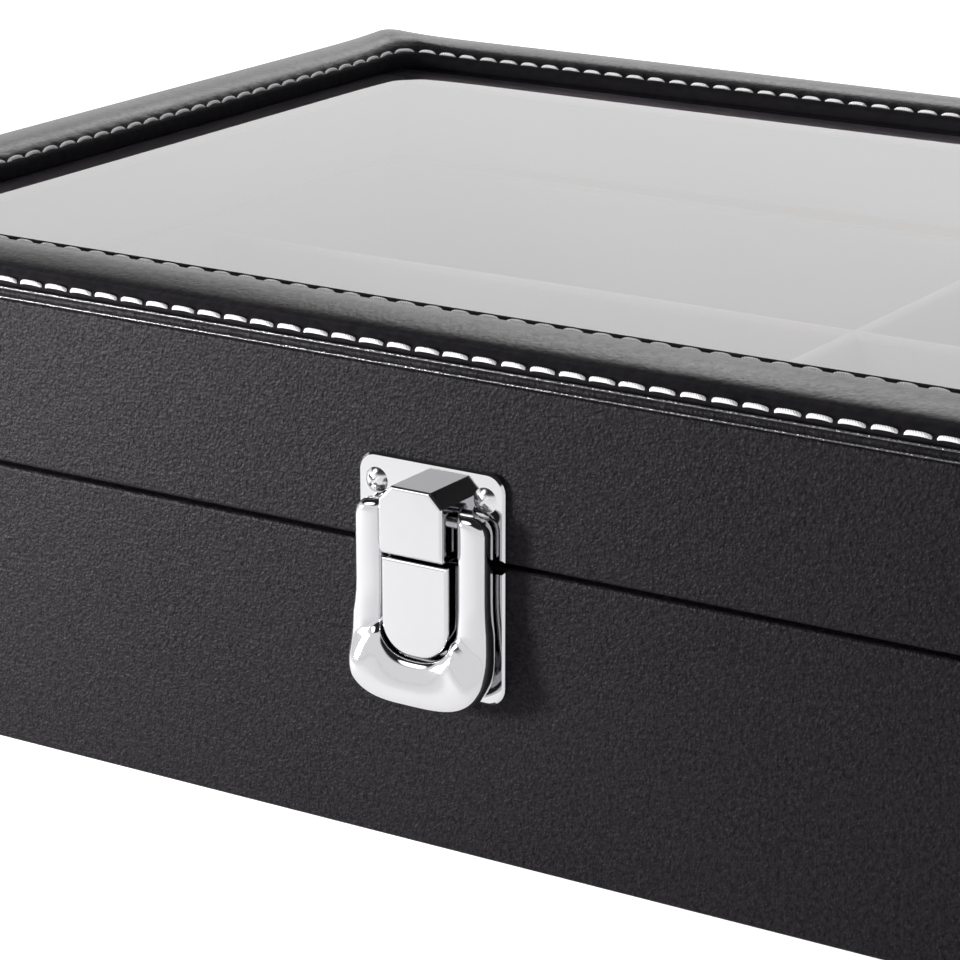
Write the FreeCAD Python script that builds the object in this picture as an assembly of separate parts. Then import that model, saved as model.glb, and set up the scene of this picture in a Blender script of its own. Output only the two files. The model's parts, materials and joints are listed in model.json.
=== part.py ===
import FreeCAD, Part
import math
import os

# Watch box with a glazed, hinged lid and a front hasp latch.
# Units are millimetres. +X runs right along the front, +Y runs to the back (the hinge side), +Z is up.
# The origin is the centre of the underside, on the surface that the box stands on.
# "Inset" is a distance inward from the outer faces, "proud" is a distance outward from the front face.

Vec = FreeCAD.Vector
SIDES = ("front", "back", "left", "right")
TOUCH = 1e-4                    # two places closer than this are the same place
PARALLEL = 0.999                # cosine above which an edge counts as running along a direction

# ---- overall size ----
LENGTH = 300.0                  # outer size along X
DEPTH = 208.0                   # outer size along Y
SEAM_Z = 47.0                   # top rim of the base
SEAM_GAP = 0.6                  # open line between the base rim and the lid rim
FRONT_Y = -DEPTH / 2
BACK_Y = DEPTH / 2
LID_BOTTOM_Z = SEAM_Z + SEAM_GAP

# ---- base walls ----
SKIN_T = 0.8                    # leatherette
WALL_INSET = 6.0                # inner face of the base walls
FELT_T = 0.8                    # underside felt, let in between the wrapped walls
BOTTOM_T = 3.0                  # bottom board
CORNER_R = 1.5                  # vertical corners of the wrapped walls
RIM_R = 0.6                     # rounded rims where the skin turns over an edge

# ---- lid walls and top ----
LID_WALL_INSET = 5.5            # inner face of the lid walls: half a millimetre clear of the base lip
LID_TOP_Z = 74.6                # top of the lid walls and of their skin
FRAME_TOP_Z = 76.6              # top of the frame board and of the glass
FRAME_BOARD_INSET = 0.1
FRAME_EDGE_R = 0.75
GLASS_T = 2.0
GLASS_INSET = 15.0
GLASS_GAP = 0.2                 # play round the glass edge
ROLL_TOP_Z = 80.6               # crown of the padded roll
ROLL_OUTER_INSET = 0.3
ROLL_INNER_INSET = 20.5
ROLL_OUTER_CORNER_R = 4.0
ROLL_INNER_CORNER_R = 6.0
ROLL_OUTER_ROUND = 2.6
ROLL_INNER_ROUND = 2.0
RETAINER_T = 2.0                # strips that carry the glass from below

# ---- velvet lining ----
LINING_T = 3.5
LIP_TOP_Z = 53.0                # the base lining stands this high, inside the closed lid
LID_LINING_BOTTOM_Z = 54.5
LINING_ROUND = 1.2
PAD_T = 2.0                     # floor pad
DIVIDER_T = 4.0
DIVIDER_TOP_Z = 50.5
DIVIDER_ROUND = 1.2
ROWS = 3

# ---- latch: plates ----
PLATE_T = 1.0
PLATE_HALF_W = 12.8
PLATE_CORNER_R = 3.0
PLATE_BEVEL = 0.35
BASE_PLATE_Z = (25.4, 46.5)
LID_PLATE_Z = (48.0, 61.3)
LID_SCREW_X = 9.55
LID_SCREW_Z = 57.1
BASE_SCREW_X = 8.5
BASE_SCREW_Z = 29.0
KEEPER_Z = 40.0                 # keeper bead on the base plate, just clear behind the tongue
KEEPER_HALF_W = 4.0
KEEPER_R = 0.9
KEEPER_PROUD = 1.4

# ---- latch: hooded tab and pivot ----
TAB_HALF_W = 5.6
TAB_Z = (47.8, 58.6)
TAB_PROUD = 6.6
TAB_WALL = 1.1
TAB_CORNER = 2.2                # clipped upper corners
TAB_EDGE_R = 0.5
TAB_NOSE_R = 1.2                # rounded lower nose, which the tongue swings past
PIVOT_Z = 53.6
PIVOT_PROUD = 3.2
PIVOT_R = 0.8
PIVOT_PLAY = 0.05
PIVOT_HALF_L = 10.2
PIVOT_END_PLAY = 0.2            # the arms hold the pin in blind bores

# ---- latch: flap ----
ARM_X = (6.4, 11.6)
FLAP_BACK = 1.5                 # proud distance of the flap's back face
ARM_EDGE = 3.6                  # proud distance of an arm at its two sides
ARM_CROWN = 4.9                 # and along its middle
ARM_BOSS_R = 1.7
SWELL_HALF_W = 12.75
SWELL_Z = (24.5, 33.5)
SWELL_PROUD = 7.7
SWELL_CORNER_R = 5.2
SWELL_TOP_CORNER_R = 2.2
SWELL_EDGE_R = 2.0
WINDOW_HALF_W = 6.4
WINDOW_BOTTOM_Z = 31.8
WINDOW_CORNER_R = 5.5

# ---- latch: tongue ----
TONGUE_HALF_W = 5.85
TONGUE_Z = (32.3, 47.2)
TONGUE_BACK = 2.6
TONGUE_PROUD = 5.6
TONGUE_CORNER_R = 5.0
TONGUE_EDGE_R = 0.6
TAIL_HALF_W = 3.9
TAIL_Z = (26.8, 36.0)
TAIL_BACK = 1.6
TAIL_PLAY = 0.1

# ---- hinges ----
HINGE_X = (-85.0, 85.0)
HINGE_NAMES = ("left", "right")
HINGE_HALF_W = 15.0
HINGE_AXIS_OUT = 2.6            # axis behind the back face
HINGE_AXIS_Z = SEAM_Z + SEAM_GAP / 2
KNUCKLE_R = 2.3
KNUCKLE_HALF_W = 5.0            # the lid's middle knuckle
KNUCKLE_PLAY = 0.1
HINGE_PIN_R = 1.0
HINGE_PIN_PLAY = 0.05
LEAF_T = 1.0
LEAF_H = 13.0
LEAF_EDGE_GAP = 0.3
LEAF_NOTCH = 2.0                # clearance above or below the axis beside the other leaf's knuckles
LEAF_CORNER_R = 2.0
HINGE_SCREW_X = 9.5
HINGE_SCREW_DROP = 8.5          # from the axis to the screw centres

# ---- screws ----
SHANK_R = 0.9
SHANK_L = 5.0
DOME_R = 2.0
DOME_H = 0.9
CROSS_W = 0.5
CROSS_L = 2.4
CROSS_DEPTH = 0.6
SINK_R = 1.9                    # countersunk head
SINK_DEPTH = 0.9
CROSS_TURNS = (45, 135)         # the two slots of the cross, in degrees


# ---------------------------------------------------------------- helpers
def block(x, y, z):
    """A box from three (low, high) pairs."""
    return Part.makeBox(x[1] - x[0], y[1] - y[0], z[1] - z[0], Vec(x[0], y[0], z[0]))


def half_sizes(inset):
    return LENGTH / 2 - inset, DEPTH / 2 - inset


def inset_block(inset, z):
    hx, hy = half_sizes(inset)
    return block((-hx, hx), (-hy, hy), z)


def front(proud_low, proud_high):
    """The (low, high) Y pair of something that stands proud of the front face."""
    return FRONT_Y - proud_high, FRONT_Y - proud_low


def is_along(edge, direction):
    if edge.Curve.TypeId != "Part::GeomLine":
        return False
    return abs(edge.tangentAt(edge.FirstParameter).dot(direction)) > PARALLEL


def edges_along(shape, direction):
    return [edge for edge in shape.Edges if is_along(edge, direction)]


def edges_at_z(shape, z):
    box_of = [(edge, edge.BoundBox) for edge in shape.Edges]
    return [edge for edge, b in box_of if abs(b.ZMin - z) < TOUCH and abs(b.ZMax - z) < TOUCH]


def edges_at_y(shape, y):
    box_of = [(edge, edge.BoundBox) for edge in shape.Edges]
    return [edge for edge, b in box_of if abs(b.YMin - y) < TOUCH and abs(b.YMax - y) < TOUCH]


def rounded_plate(x, z, y, low_r, high_r):
    """A plate parallel to the front face, with rounded lower and upper corners."""
    plate = block(x, y, z)
    for corner_z, radius in ((z[0], low_r), (z[1], high_r)):
        if radius > 0:
            upright = edges_along(plate, Vec(0, 1, 0))
            corners = [e for e in upright if abs(e.BoundBox.ZMin - corner_z) < TOUCH]
            plate = plate.makeFillet(radius, corners)
    return plate


def mitred_board(side, outer_inset, inner_inset, z, round_top=0.0):
    """One of four boards that make a rectangular ring, meeting on 45 degree mitres."""
    ox, oy = half_sizes(outer_inset)
    ix, iy = half_sizes(inner_inset)
    outlines = {
        "front": [(-ox, -oy), (ox, -oy), (ix, -iy), (-ix, -iy)],
        "back": [(-ox, oy), (-ix, iy), (ix, iy), (ox, oy)],
        "left": [(-ox, -oy), (-ix, -iy), (-ix, iy), (-ox, oy)],
        "right": [(ox, -oy), (ox, oy), (ix, iy), (ix, -iy)],
    }
    points = [Vec(px, py, z[0]) for px, py in outlines[side]]
    board = Part.Face(Part.makePolygon(points + points[:1])).extrude(Vec(0, 0, z[1] - z[0]))
    if round_top > 0:
        run = Vec(1, 0, 0) if side in ("front", "back") else Vec(0, 1, 0)
        long_edges = [e for e in edges_along(board, run) if abs(e.BoundBox.ZMin - z[1]) < TOUCH]
        board = board.makeFillet(round_top, long_edges)
    return board


def face_screw(x, z, face_y, outward, head):
    """A cross-head screw driven into the front (outward -1) or back (outward +1) face."""
    shank = Part.makeCylinder(SHANK_R, SHANK_L)
    if head == "dome":
        ball_r = (DOME_R ** 2 + DOME_H ** 2) / (2 * DOME_H)
        ball = Part.makeSphere(ball_r, Vec(0, 0, ball_r - DOME_H))
        cap = ball.common(Part.makeCylinder(DOME_R, DOME_H, Vec(0, 0, -DOME_H)))
        top = -DOME_H
    else:
        cap = Part.makeCone(SINK_R, SHANK_R, SINK_DEPTH)
        top = 0.0
    screw = shank.fuse(cap).removeSplitter()
    for turn in CROSS_TURNS:
        slot = Part.makeBox(CROSS_L, CROSS_W, CROSS_DEPTH, Vec(-CROSS_L / 2, -CROSS_W / 2, top))
        slot.rotate(Vec(0, 0, 0), Vec(0, 0, 1), turn)
        screw = screw.cut(slot)
    screw.rotate(Vec(0, 0, 0), Vec(1, 0, 0), -90 if outward < 0 else 90)
    screw.translate(Vec(x, face_y, z))
    return screw


def screw_space(x, z, face_y, outward, sunk=False):
    """The hole that a screw fills."""
    hole = Part.makeCylinder(SHANK_R, SHANK_L)
    if sunk:
        hole = hole.fuse(Part.makeCone(SINK_R, SHANK_R, SINK_DEPTH))
    hole.rotate(Vec(0, 0, 0), Vec(1, 0, 0), -90 if outward < 0 else 90)
    hole.translate(Vec(x, face_y, z))
    return hole


# ---------------------------------------------------------------- where the screws are
PLATE_FACE_Y = FRONT_Y - PLATE_T
LEAF_FACE_Y = BACK_Y + LEAF_T
LID_LATCH_SCREWS = [(x, LID_SCREW_Z) for x in (-LID_SCREW_X, LID_SCREW_X)]
BASE_LATCH_SCREWS = [(x, BASE_SCREW_Z) for x in (-BASE_SCREW_X, BASE_SCREW_X)]
HINGE_SCREW_XS = [centre + side * HINGE_SCREW_X for centre in HINGE_X for side in (-1, 1)]
BASE_HINGE_SCREWS = [(x, HINGE_AXIS_Z - HINGE_SCREW_DROP) for x in HINGE_SCREW_XS]
LID_HINGE_SCREWS = [(x, HINGE_AXIS_Z + HINGE_SCREW_DROP) for x in HINGE_SCREW_XS]


def drill_walls(shape, latch_screws, hinge_screws):
    """Cuts the screw holes of the latch plate and of the hinge leaves."""
    for x, z in latch_screws:
        shape = shape.cut(screw_space(x, z, PLATE_FACE_Y, -1))
    for x, z in hinge_screws:
        shape = shape.cut(screw_space(x, z, LEAF_FACE_Y, 1))
    return shape


# ---------------------------------------------------------------- base
def base_skin():
    """Leatherette over the outside of the walls, turned in over the rim and under the walls."""
    block_out = inset_block(0, (0, SEAM_Z))
    block_out = block_out.makeFillet(CORNER_R, edges_along(block_out, Vec(0, 0, 1)))
    block_out = block_out.makeFillet(RIM_R, edges_at_z(block_out, 0) + edges_at_z(block_out, SEAM_Z))
    skin = block_out.cut(inset_block(SKIN_T, (SKIN_T, SEAM_Z - SKIN_T)))
    skin = skin.cut(inset_block(WALL_INSET, (0, SEAM_Z)))
    return drill_walls(skin, BASE_LATCH_SCREWS, BASE_HINGE_SCREWS)


def base_wall(side):
    wall = mitred_board(side, SKIN_T, WALL_INSET, (SKIN_T, SEAM_Z - SKIN_T))
    return drill_walls(wall, BASE_LATCH_SCREWS, BASE_HINGE_SCREWS)


# ---------------------------------------------------------------- lining and dividers
BOARD_TOP_Z = FELT_T + BOTTOM_T
PAD_TOP_Z = BOARD_TOP_Z + PAD_T
LINING_INSET = WALL_INSET + LINING_T
HALF_ROOM_X, HALF_ROOM_Y = half_sizes(LINING_INSET)
ROW_PITCH = (2 * HALF_ROOM_Y + DIVIDER_T) / ROWS
DIVIDER_YS = [-HALF_ROOM_Y - DIVIDER_T / 2 + ROW_PITCH * row for row in range(1, ROWS)]
HALF_LAP_Z = (PAD_TOP_Z + DIVIDER_TOP_Z) / 2


def rounded_board(x, y, run):
    """A divider board with its two long top edges rounded."""
    board = block(x, y, (PAD_TOP_Z, DIVIDER_TOP_Z))
    tops = [e for e in edges_along(board, run) if abs(e.BoundBox.ZMin - DIVIDER_TOP_Z) < TOUCH]
    return board.makeFillet(DIVIDER_ROUND, tops)


def long_divider(y):
    """Runs along X, with a slot from below where the cross divider passes."""
    half = DIVIDER_T / 2
    board = rounded_board((-HALF_ROOM_X, HALF_ROOM_X), (y - half, y + half), Vec(1, 0, 0))
    return board.cut(block((-half, half), (y - half, y + half), (PAD_TOP_Z, HALF_LAP_Z)))


def cross_divider():
    """Runs along Y, with a slot from above at each long divider."""
    half = DIVIDER_T / 2
    board = rounded_board((-half, half), (-HALF_ROOM_Y, HALF_ROOM_Y), Vec(0, 1, 0))
    for y in DIVIDER_YS:
        board = board.cut(block((-half, half), (y - half, y + half), (HALF_LAP_Z, DIVIDER_TOP_Z)))
    return board


# ---------------------------------------------------------------- lid
def lid_skin():
    """Leatherette over the outside of the lid walls and turned in under the rim."""
    block_out = inset_block(0, (LID_BOTTOM_Z, LID_TOP_Z))
    block_out = block_out.makeFillet(CORNER_R, edges_along(block_out, Vec(0, 0, 1)))
    rims = edges_at_z(block_out, LID_BOTTOM_Z) + edges_at_z(block_out, LID_TOP_Z)
    block_out = block_out.makeFillet(RIM_R, rims)
    skin = block_out.cut(inset_block(SKIN_T, (LID_BOTTOM_Z + SKIN_T, LID_TOP_Z)))
    skin = skin.cut(inset_block(LID_WALL_INSET, (LID_BOTTOM_Z, LID_TOP_Z)))
    return drill_walls(skin, LID_LATCH_SCREWS, LID_HINGE_SCREWS)


def lid_wall(side):
    wall = mitred_board(side, SKIN_T, LID_WALL_INSET, (LID_BOTTOM_Z + SKIN_T, LID_TOP_Z))
    return drill_walls(wall, LID_LATCH_SCREWS, LID_HINGE_SCREWS)


def top_frame():
    """The board that carries the roll. Its wrapped, rounded edge is the thin lip under the roll."""
    board = inset_block(FRAME_BOARD_INSET, (LID_TOP_Z, FRAME_TOP_Z))
    board = board.makeFillet(CORNER_R, edges_along(board, Vec(0, 0, 1)))
    rims = edges_at_z(board, LID_TOP_Z) + edges_at_z(board, FRAME_TOP_Z)
    board = board.makeFillet(FRAME_EDGE_R, rims)
    return board.cut(inset_block(GLASS_INSET - GLASS_GAP, (LID_TOP_Z, FRAME_TOP_Z)))


def padded_roll():
    """The sewn, padded leather roll: a ring with a rounded section, from the edge to over the glass."""
    outer = inset_block(ROLL_OUTER_INSET, (FRAME_TOP_Z, ROLL_TOP_Z))
    outer = outer.makeFillet(ROLL_OUTER_CORNER_R, edges_along(outer, Vec(0, 0, 1)))
    outer = outer.makeFillet(ROLL_OUTER_ROUND, edges_at_z(outer, ROLL_TOP_Z))
    hole = inset_block(ROLL_INNER_INSET, (FRAME_TOP_Z, ROLL_TOP_Z))
    hole = hole.makeFillet(ROLL_INNER_CORNER_R, edges_along(hole, Vec(0, 0, 1)))
    ring = outer.cut(hole)
    hx = half_sizes(ROLL_INNER_INSET)[0]
    inner_top = [e for e in edges_at_z(ring, ROLL_TOP_Z) if abs(e.BoundBox.Center.x) <= hx
                 and max(abs(e.BoundBox.XMin), abs(e.BoundBox.XMax)) <= hx + TOUCH]
    return ring.makeFillet(ROLL_INNER_ROUND, inner_top)


def glass_pane():
    return inset_block(GLASS_INSET, (FRAME_TOP_Z - GLASS_T, FRAME_TOP_Z))


# ---------------------------------------------------------------- latch
def latch_base_plate():
    """Screwed to the base. A low keeper bead stands just clear behind the tongue."""
    x = (-PLATE_HALF_W, PLATE_HALF_W)
    plate = rounded_plate(x, BASE_PLATE_Z, front(0, PLATE_T), PLATE_CORNER_R, 0)
    plate = plate.makeChamfer(PLATE_BEVEL, edges_at_y(plate, PLATE_FACE_Y))
    sunk_y = FRONT_Y - KEEPER_PROUD + KEEPER_R
    start = Vec(-KEEPER_HALF_W, sunk_y, KEEPER_Z)
    bead = Part.makeCylinder(KEEPER_R, 2 * KEEPER_HALF_W, start, Vec(1, 0, 0))
    bead = bead.common(block(x, front(PLATE_T / 2, TAB_PROUD), BASE_PLATE_Z))
    plate = plate.fuse(bead).removeSplitter()
    for screw_x, screw_z in BASE_LATCH_SCREWS:
        plate = plate.cut(screw_space(screw_x, screw_z, PLATE_FACE_Y, -1, sunk=True))
    return plate


def hooded_tab():
    """The bent tab over the pivot: a front wall, a top wall and two cheeks, open below and behind."""
    tab = block((-TAB_HALF_W, TAB_HALF_W), front(PLATE_T, TAB_PROUD), TAB_Z)
    corners = [e for e in edges_along(tab, Vec(0, 1, 0)) if abs(e.BoundBox.ZMin - TAB_Z[1]) < TOUCH]
    tab = tab.makeChamfer(TAB_CORNER, corners)
    face_y = FRONT_Y - TAB_PROUD
    face_edges = edges_at_y(tab, face_y)
    nose = [e for e in face_edges if abs(e.BoundBox.ZMax - TAB_Z[0]) < TOUCH]
    tab = tab.makeFillet(TAB_NOSE_R, nose)
    upper = [e for e in edges_at_y(tab, face_y) if e.BoundBox.ZMax > TAB_Z[0] + 2 * TAB_NOSE_R]
    tab = tab.makeFillet(TAB_EDGE_R, upper)
    inner_x = TAB_HALF_W - TAB_WALL
    room = block((-inner_x, inner_x), front(PLATE_T, TAB_PROUD - TAB_WALL), (TAB_Z[0], TAB_Z[1] - TAB_WALL))
    roof = [e for e in edges_along(room, Vec(0, 1, 0)) if abs(e.BoundBox.ZMin - room.BoundBox.ZMax) < TOUCH]
    return tab.cut(room.makeChamfer(TAB_CORNER - TAB_WALL / 2, roof))


def pivot_cylinder(radius, x_low, x_high):
    start = Vec(x_low, FRONT_Y - PIVOT_PROUD, PIVOT_Z)
    return Part.makeCylinder(radius, x_high - x_low, start, Vec(1, 0, 0))


def latch_lid_plate():
    """Screwed to the lid, with the hooded tab that holds the pivot pin in its cheeks."""
    x = (-PLATE_HALF_W, PLATE_HALF_W)
    plate = rounded_plate(x, LID_PLATE_Z, front(0, PLATE_T), 0, PLATE_CORNER_R)
    plate = plate.makeChamfer(PLATE_BEVEL, edges_at_y(plate, PLATE_FACE_Y))
    plate = plate.fuse(hooded_tab()).removeSplitter()
    plate = plate.cut(pivot_cylinder(PIVOT_R, -PLATE_HALF_W, PLATE_HALF_W))
    for screw_x, screw_z in LID_LATCH_SCREWS:
        plate = plate.cut(screw_space(screw_x, screw_z, PLATE_FACE_Y, -1))
    return plate


def flap_arm(side):
    """One round-fronted arm with the pivot boss at its top."""
    low, high = sorted((side * ARM_X[0], side * ARM_X[1]))
    middle = (low + high) / 2
    z0 = SWELL_Z[0] + SWELL_CORNER_R
    y_back, y_edge, y_crown = (FRONT_Y - proud for proud in (FLAP_BACK, ARM_EDGE, ARM_CROWN))
    corners = [Vec(low, y_edge, z0), Vec(low, y_back, z0), Vec(high, y_back, z0), Vec(high, y_edge, z0)]
    crown = Part.Arc(corners[3], Vec(middle, y_crown, z0), corners[0]).toShape()
    outline = Part.Wire(Part.makePolygon(corners).Edges + [crown])
    arm = Part.Face(outline).extrude(Vec(0, 0, PIVOT_Z - z0))
    return arm.fuse(pivot_cylinder(ARM_BOSS_R, low, high))


def latch_flap():
    """The swinging flap: two arms, the thumb swell, and a window that the tongue fills."""
    swell = rounded_plate((-SWELL_HALF_W, SWELL_HALF_W), SWELL_Z, front(FLAP_BACK, SWELL_PROUD),
                          SWELL_CORNER_R, SWELL_TOP_CORNER_R)
    swell = swell.makeFillet(SWELL_EDGE_R, edges_at_y(swell, FRONT_Y - SWELL_PROUD))
    flap = swell.fuse([flap_arm(-1), flap_arm(1)]).removeSplitter()
    window = rounded_plate((-WINDOW_HALF_W, WINDOW_HALF_W), (WINDOW_BOTTOM_Z, PIVOT_Z + PLATE_HALF_W),
                           front(0, SWELL_PROUD), WINDOW_CORNER_R, 0)
    flap = flap.cut(window)
    tail_space = block((-TAIL_HALF_W - TAIL_PLAY, TAIL_HALF_W + TAIL_PLAY), front(0, TONGUE_BACK),
                       (TAIL_Z[0] - TAIL_PLAY, WINDOW_BOTTOM_Z + WINDOW_CORNER_R))
    flap = flap.cut(tail_space)
    bore_end = PIVOT_HALF_L + PIVOT_END_PLAY
    return flap.cut(pivot_cylinder(PIVOT_R + PIVOT_PLAY, -bore_end, bore_end))


def latch_tongue():
    """The sprung insert: a round-ended face with a narrow tail fixed behind the swell."""
    face = rounded_plate((-TONGUE_HALF_W, TONGUE_HALF_W), TONGUE_Z, front(TONGUE_BACK, TONGUE_PROUD),
                         TONGUE_CORNER_R, 0)
    face = face.makeFillet(TONGUE_EDGE_R, edges_at_y(face, FRONT_Y - TONGUE_PROUD))
    tail = block((-TAIL_HALF_W, TAIL_HALF_W), front(TAIL_BACK, TONGUE_BACK), TAIL_Z)
    return face.fuse(tail).removeSplitter()


def latch_pin():
    return pivot_cylinder(PIVOT_R, -PIVOT_HALF_L, PIVOT_HALF_L)


# ---------------------------------------------------------------- hinges
HINGE_AXIS_Y = BACK_Y + HINGE_AXIS_OUT


def hinge_cylinder(radius, x_low, x_high):
    start = Vec(x_low, HINGE_AXIS_Y, HINGE_AXIS_Z)
    return Part.makeCylinder(radius, x_high - x_low, start, Vec(1, 0, 0))


def hinge_leaf(centre, part_of):
    """A leaf on the back face. The base leaf has two outer knuckles and the lid leaf the middle one."""
    up = 1 if part_of == "lid" else -1
    edge_z = HINGE_AXIS_Z + up * LEAF_EDGE_GAP
    far_z = HINGE_AXIS_Z + up * LEAF_H
    x = (centre - HINGE_HALF_W, centre + HINGE_HALF_W)
    y = (BACK_Y, BACK_Y + LEAF_T)
    z = tuple(sorted((edge_z, far_z)))
    leaf = rounded_plate(x, z, y, *((0, LEAF_CORNER_R) if up > 0 else (LEAF_CORNER_R, 0)))
    middle = (centre - KNUCKLE_HALF_W, centre + KNUCKLE_HALF_W)
    outer = ((x[0], middle[0] - KNUCKLE_PLAY), (middle[1] + KNUCKLE_PLAY, x[1]))
    own, others = ((middle,), outer) if part_of == "lid" else (outer, (middle,))
    notch_z = tuple(sorted((HINGE_AXIS_Z, HINGE_AXIS_Z + up * LEAF_NOTCH)))
    for span in others:
        gap = (span[0] - 2 * KNUCKLE_PLAY, span[1] + 2 * KNUCKLE_PLAY)
        leaf = leaf.cut(block(gap, y, notch_z))
    for span in own:
        web_z = tuple(sorted((HINGE_AXIS_Z, HINGE_AXIS_Z + up * KNUCKLE_R)))
        web = block(span, (BACK_Y + LEAF_EDGE_GAP, HINGE_AXIS_Y), web_z)
        leaf = leaf.fuse([hinge_cylinder(KNUCKLE_R, *span), web])
    bore_r = HINGE_PIN_R + (HINGE_PIN_PLAY if part_of == "lid" else 0)
    leaf = leaf.removeSplitter().cut(hinge_cylinder(bore_r, *x))
    screws = LID_HINGE_SCREWS if part_of == "lid" else BASE_HINGE_SCREWS
    for screw_x, screw_z in screws:
        leaf = leaf.cut(screw_space(screw_x, screw_z, LEAF_FACE_Y, 1, sunk=True))
    return leaf


# ---------------------------------------------------------------- all the nodes
def build_nodes():
    nodes = {}
    for side in SIDES:
        nodes["base_wall_" + side] = base_wall(side)
    nodes["base_bottom_board"] = inset_block(WALL_INSET, (FELT_T, BOARD_TOP_Z))
    nodes["base_leatherette"] = base_skin()
    nodes["underside_felt"] = inset_block(WALL_INSET, (0, FELT_T))
    for side in SIDES:
        nodes["base_lining_" + side] = mitred_board(
            side, WALL_INSET, LINING_INSET, (BOARD_TOP_Z, LIP_TOP_Z), LINING_ROUND)
    nodes["floor_pad"] = inset_block(LINING_INSET, (BOARD_TOP_Z, PAD_TOP_Z))
    for name, y in zip(("long_divider_front", "long_divider_back"), DIVIDER_YS):
        nodes[name] = long_divider(y)
    nodes["cross_divider"] = cross_divider()

    retainer_z = (LID_TOP_Z - RETAINER_T, LID_TOP_Z)
    for side in SIDES:
        nodes["lid_wall_" + side] = lid_wall(side)
        nodes["lid_lining_" + side] = mitred_board(
            side, LID_WALL_INSET, LINING_INSET, (LID_LINING_BOTTOM_Z, retainer_z[0]))
        nodes["glass_retainer_" + side] = mitred_board(side, LID_WALL_INSET, ROLL_INNER_INSET, retainer_z)
    nodes["lid_leatherette"] = lid_skin()
    nodes["lid_top_frame"] = top_frame()
    nodes["padded_roll"] = padded_roll()
    nodes["glass_pane"] = glass_pane()

    nodes["latch_base_plate"] = latch_base_plate()
    nodes["latch_lid_plate"] = latch_lid_plate()
    nodes["latch_pin"] = latch_pin()
    nodes["latch_flap"] = latch_flap()
    nodes["latch_tongue"] = latch_tongue()
    nodes["latch_lid_screws"] = Part.makeCompound(
        [face_screw(x, z, PLATE_FACE_Y, -1, "dome") for x, z in LID_LATCH_SCREWS])
    nodes["latch_base_screws"] = Part.makeCompound(
        [face_screw(x, z, PLATE_FACE_Y, -1, "sunk") for x, z in BASE_LATCH_SCREWS])

    for name, centre in zip(HINGE_NAMES, HINGE_X):
        nodes["hinge_base_leaf_" + name] = hinge_leaf(centre, "base")
        nodes["hinge_lid_leaf_" + name] = hinge_leaf(centre, "lid")
        ends = (centre - HINGE_HALF_W, centre + HINGE_HALF_W)
        nodes["hinge_pin_" + name] = hinge_cylinder(HINGE_PIN_R, *ends)
    for part_of, screws in (("base", BASE_HINGE_SCREWS), ("lid", LID_HINGE_SCREWS)):
        nodes["hinge_screws_" + part_of] = Part.makeCompound(
            [face_screw(x, z, LEAF_FACE_Y, 1, "sunk") for x, z in screws])
    return nodes


def main():
    os.makedirs("parts", exist_ok=True)
    nodes = build_nodes()
    for name, shape in nodes.items():
        if not shape.isValid():
            raise ValueError(name + " is not a valid solid")
        shape.exportStep("parts/" + name + ".step")
        print(name, len(shape.Solids), "solid(s),", round(shape.Volume, 1), "mm3")


main()
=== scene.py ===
import json
import math
import random

import bpy
import numpy as np
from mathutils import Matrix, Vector


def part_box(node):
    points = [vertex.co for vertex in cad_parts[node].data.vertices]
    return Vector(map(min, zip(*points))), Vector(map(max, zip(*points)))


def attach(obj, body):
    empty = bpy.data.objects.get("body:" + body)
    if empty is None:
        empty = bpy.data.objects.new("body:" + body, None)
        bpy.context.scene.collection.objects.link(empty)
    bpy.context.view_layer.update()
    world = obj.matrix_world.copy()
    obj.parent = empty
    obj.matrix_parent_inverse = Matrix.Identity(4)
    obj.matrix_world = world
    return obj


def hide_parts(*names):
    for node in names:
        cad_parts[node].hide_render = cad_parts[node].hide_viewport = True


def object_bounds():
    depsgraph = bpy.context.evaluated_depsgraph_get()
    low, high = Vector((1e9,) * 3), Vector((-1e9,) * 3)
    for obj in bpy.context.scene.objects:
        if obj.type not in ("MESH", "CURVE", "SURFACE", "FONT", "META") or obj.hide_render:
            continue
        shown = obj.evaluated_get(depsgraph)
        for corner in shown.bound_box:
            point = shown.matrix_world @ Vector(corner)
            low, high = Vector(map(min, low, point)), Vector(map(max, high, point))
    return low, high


# A black leatherette watch box with a glazed lid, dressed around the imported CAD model.
# Units are metres. MM turns the small sizes of leather, thread and plush into metres.

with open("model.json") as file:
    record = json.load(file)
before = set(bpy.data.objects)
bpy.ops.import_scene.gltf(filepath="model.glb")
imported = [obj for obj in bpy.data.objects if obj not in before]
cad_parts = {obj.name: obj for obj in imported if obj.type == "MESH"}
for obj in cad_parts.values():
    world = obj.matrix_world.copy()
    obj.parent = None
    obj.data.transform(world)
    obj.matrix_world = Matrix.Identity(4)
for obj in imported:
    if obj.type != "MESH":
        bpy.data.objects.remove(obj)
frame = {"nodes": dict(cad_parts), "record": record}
cad_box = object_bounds()
MM = 0.001
random.seed(20)

# ---- places taken from the frame ----
ROLL_LOW, ROLL_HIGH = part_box("padded_roll")
ROLL_CENTRE = (ROLL_HIGH + ROLL_LOW) / 2
FLAP_LOW, FLAP_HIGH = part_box("latch_flap")
TONGUE_LOW_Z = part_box("latch_tongue")[0].z
FRONT_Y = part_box("base_leatherette")[0].y

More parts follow.
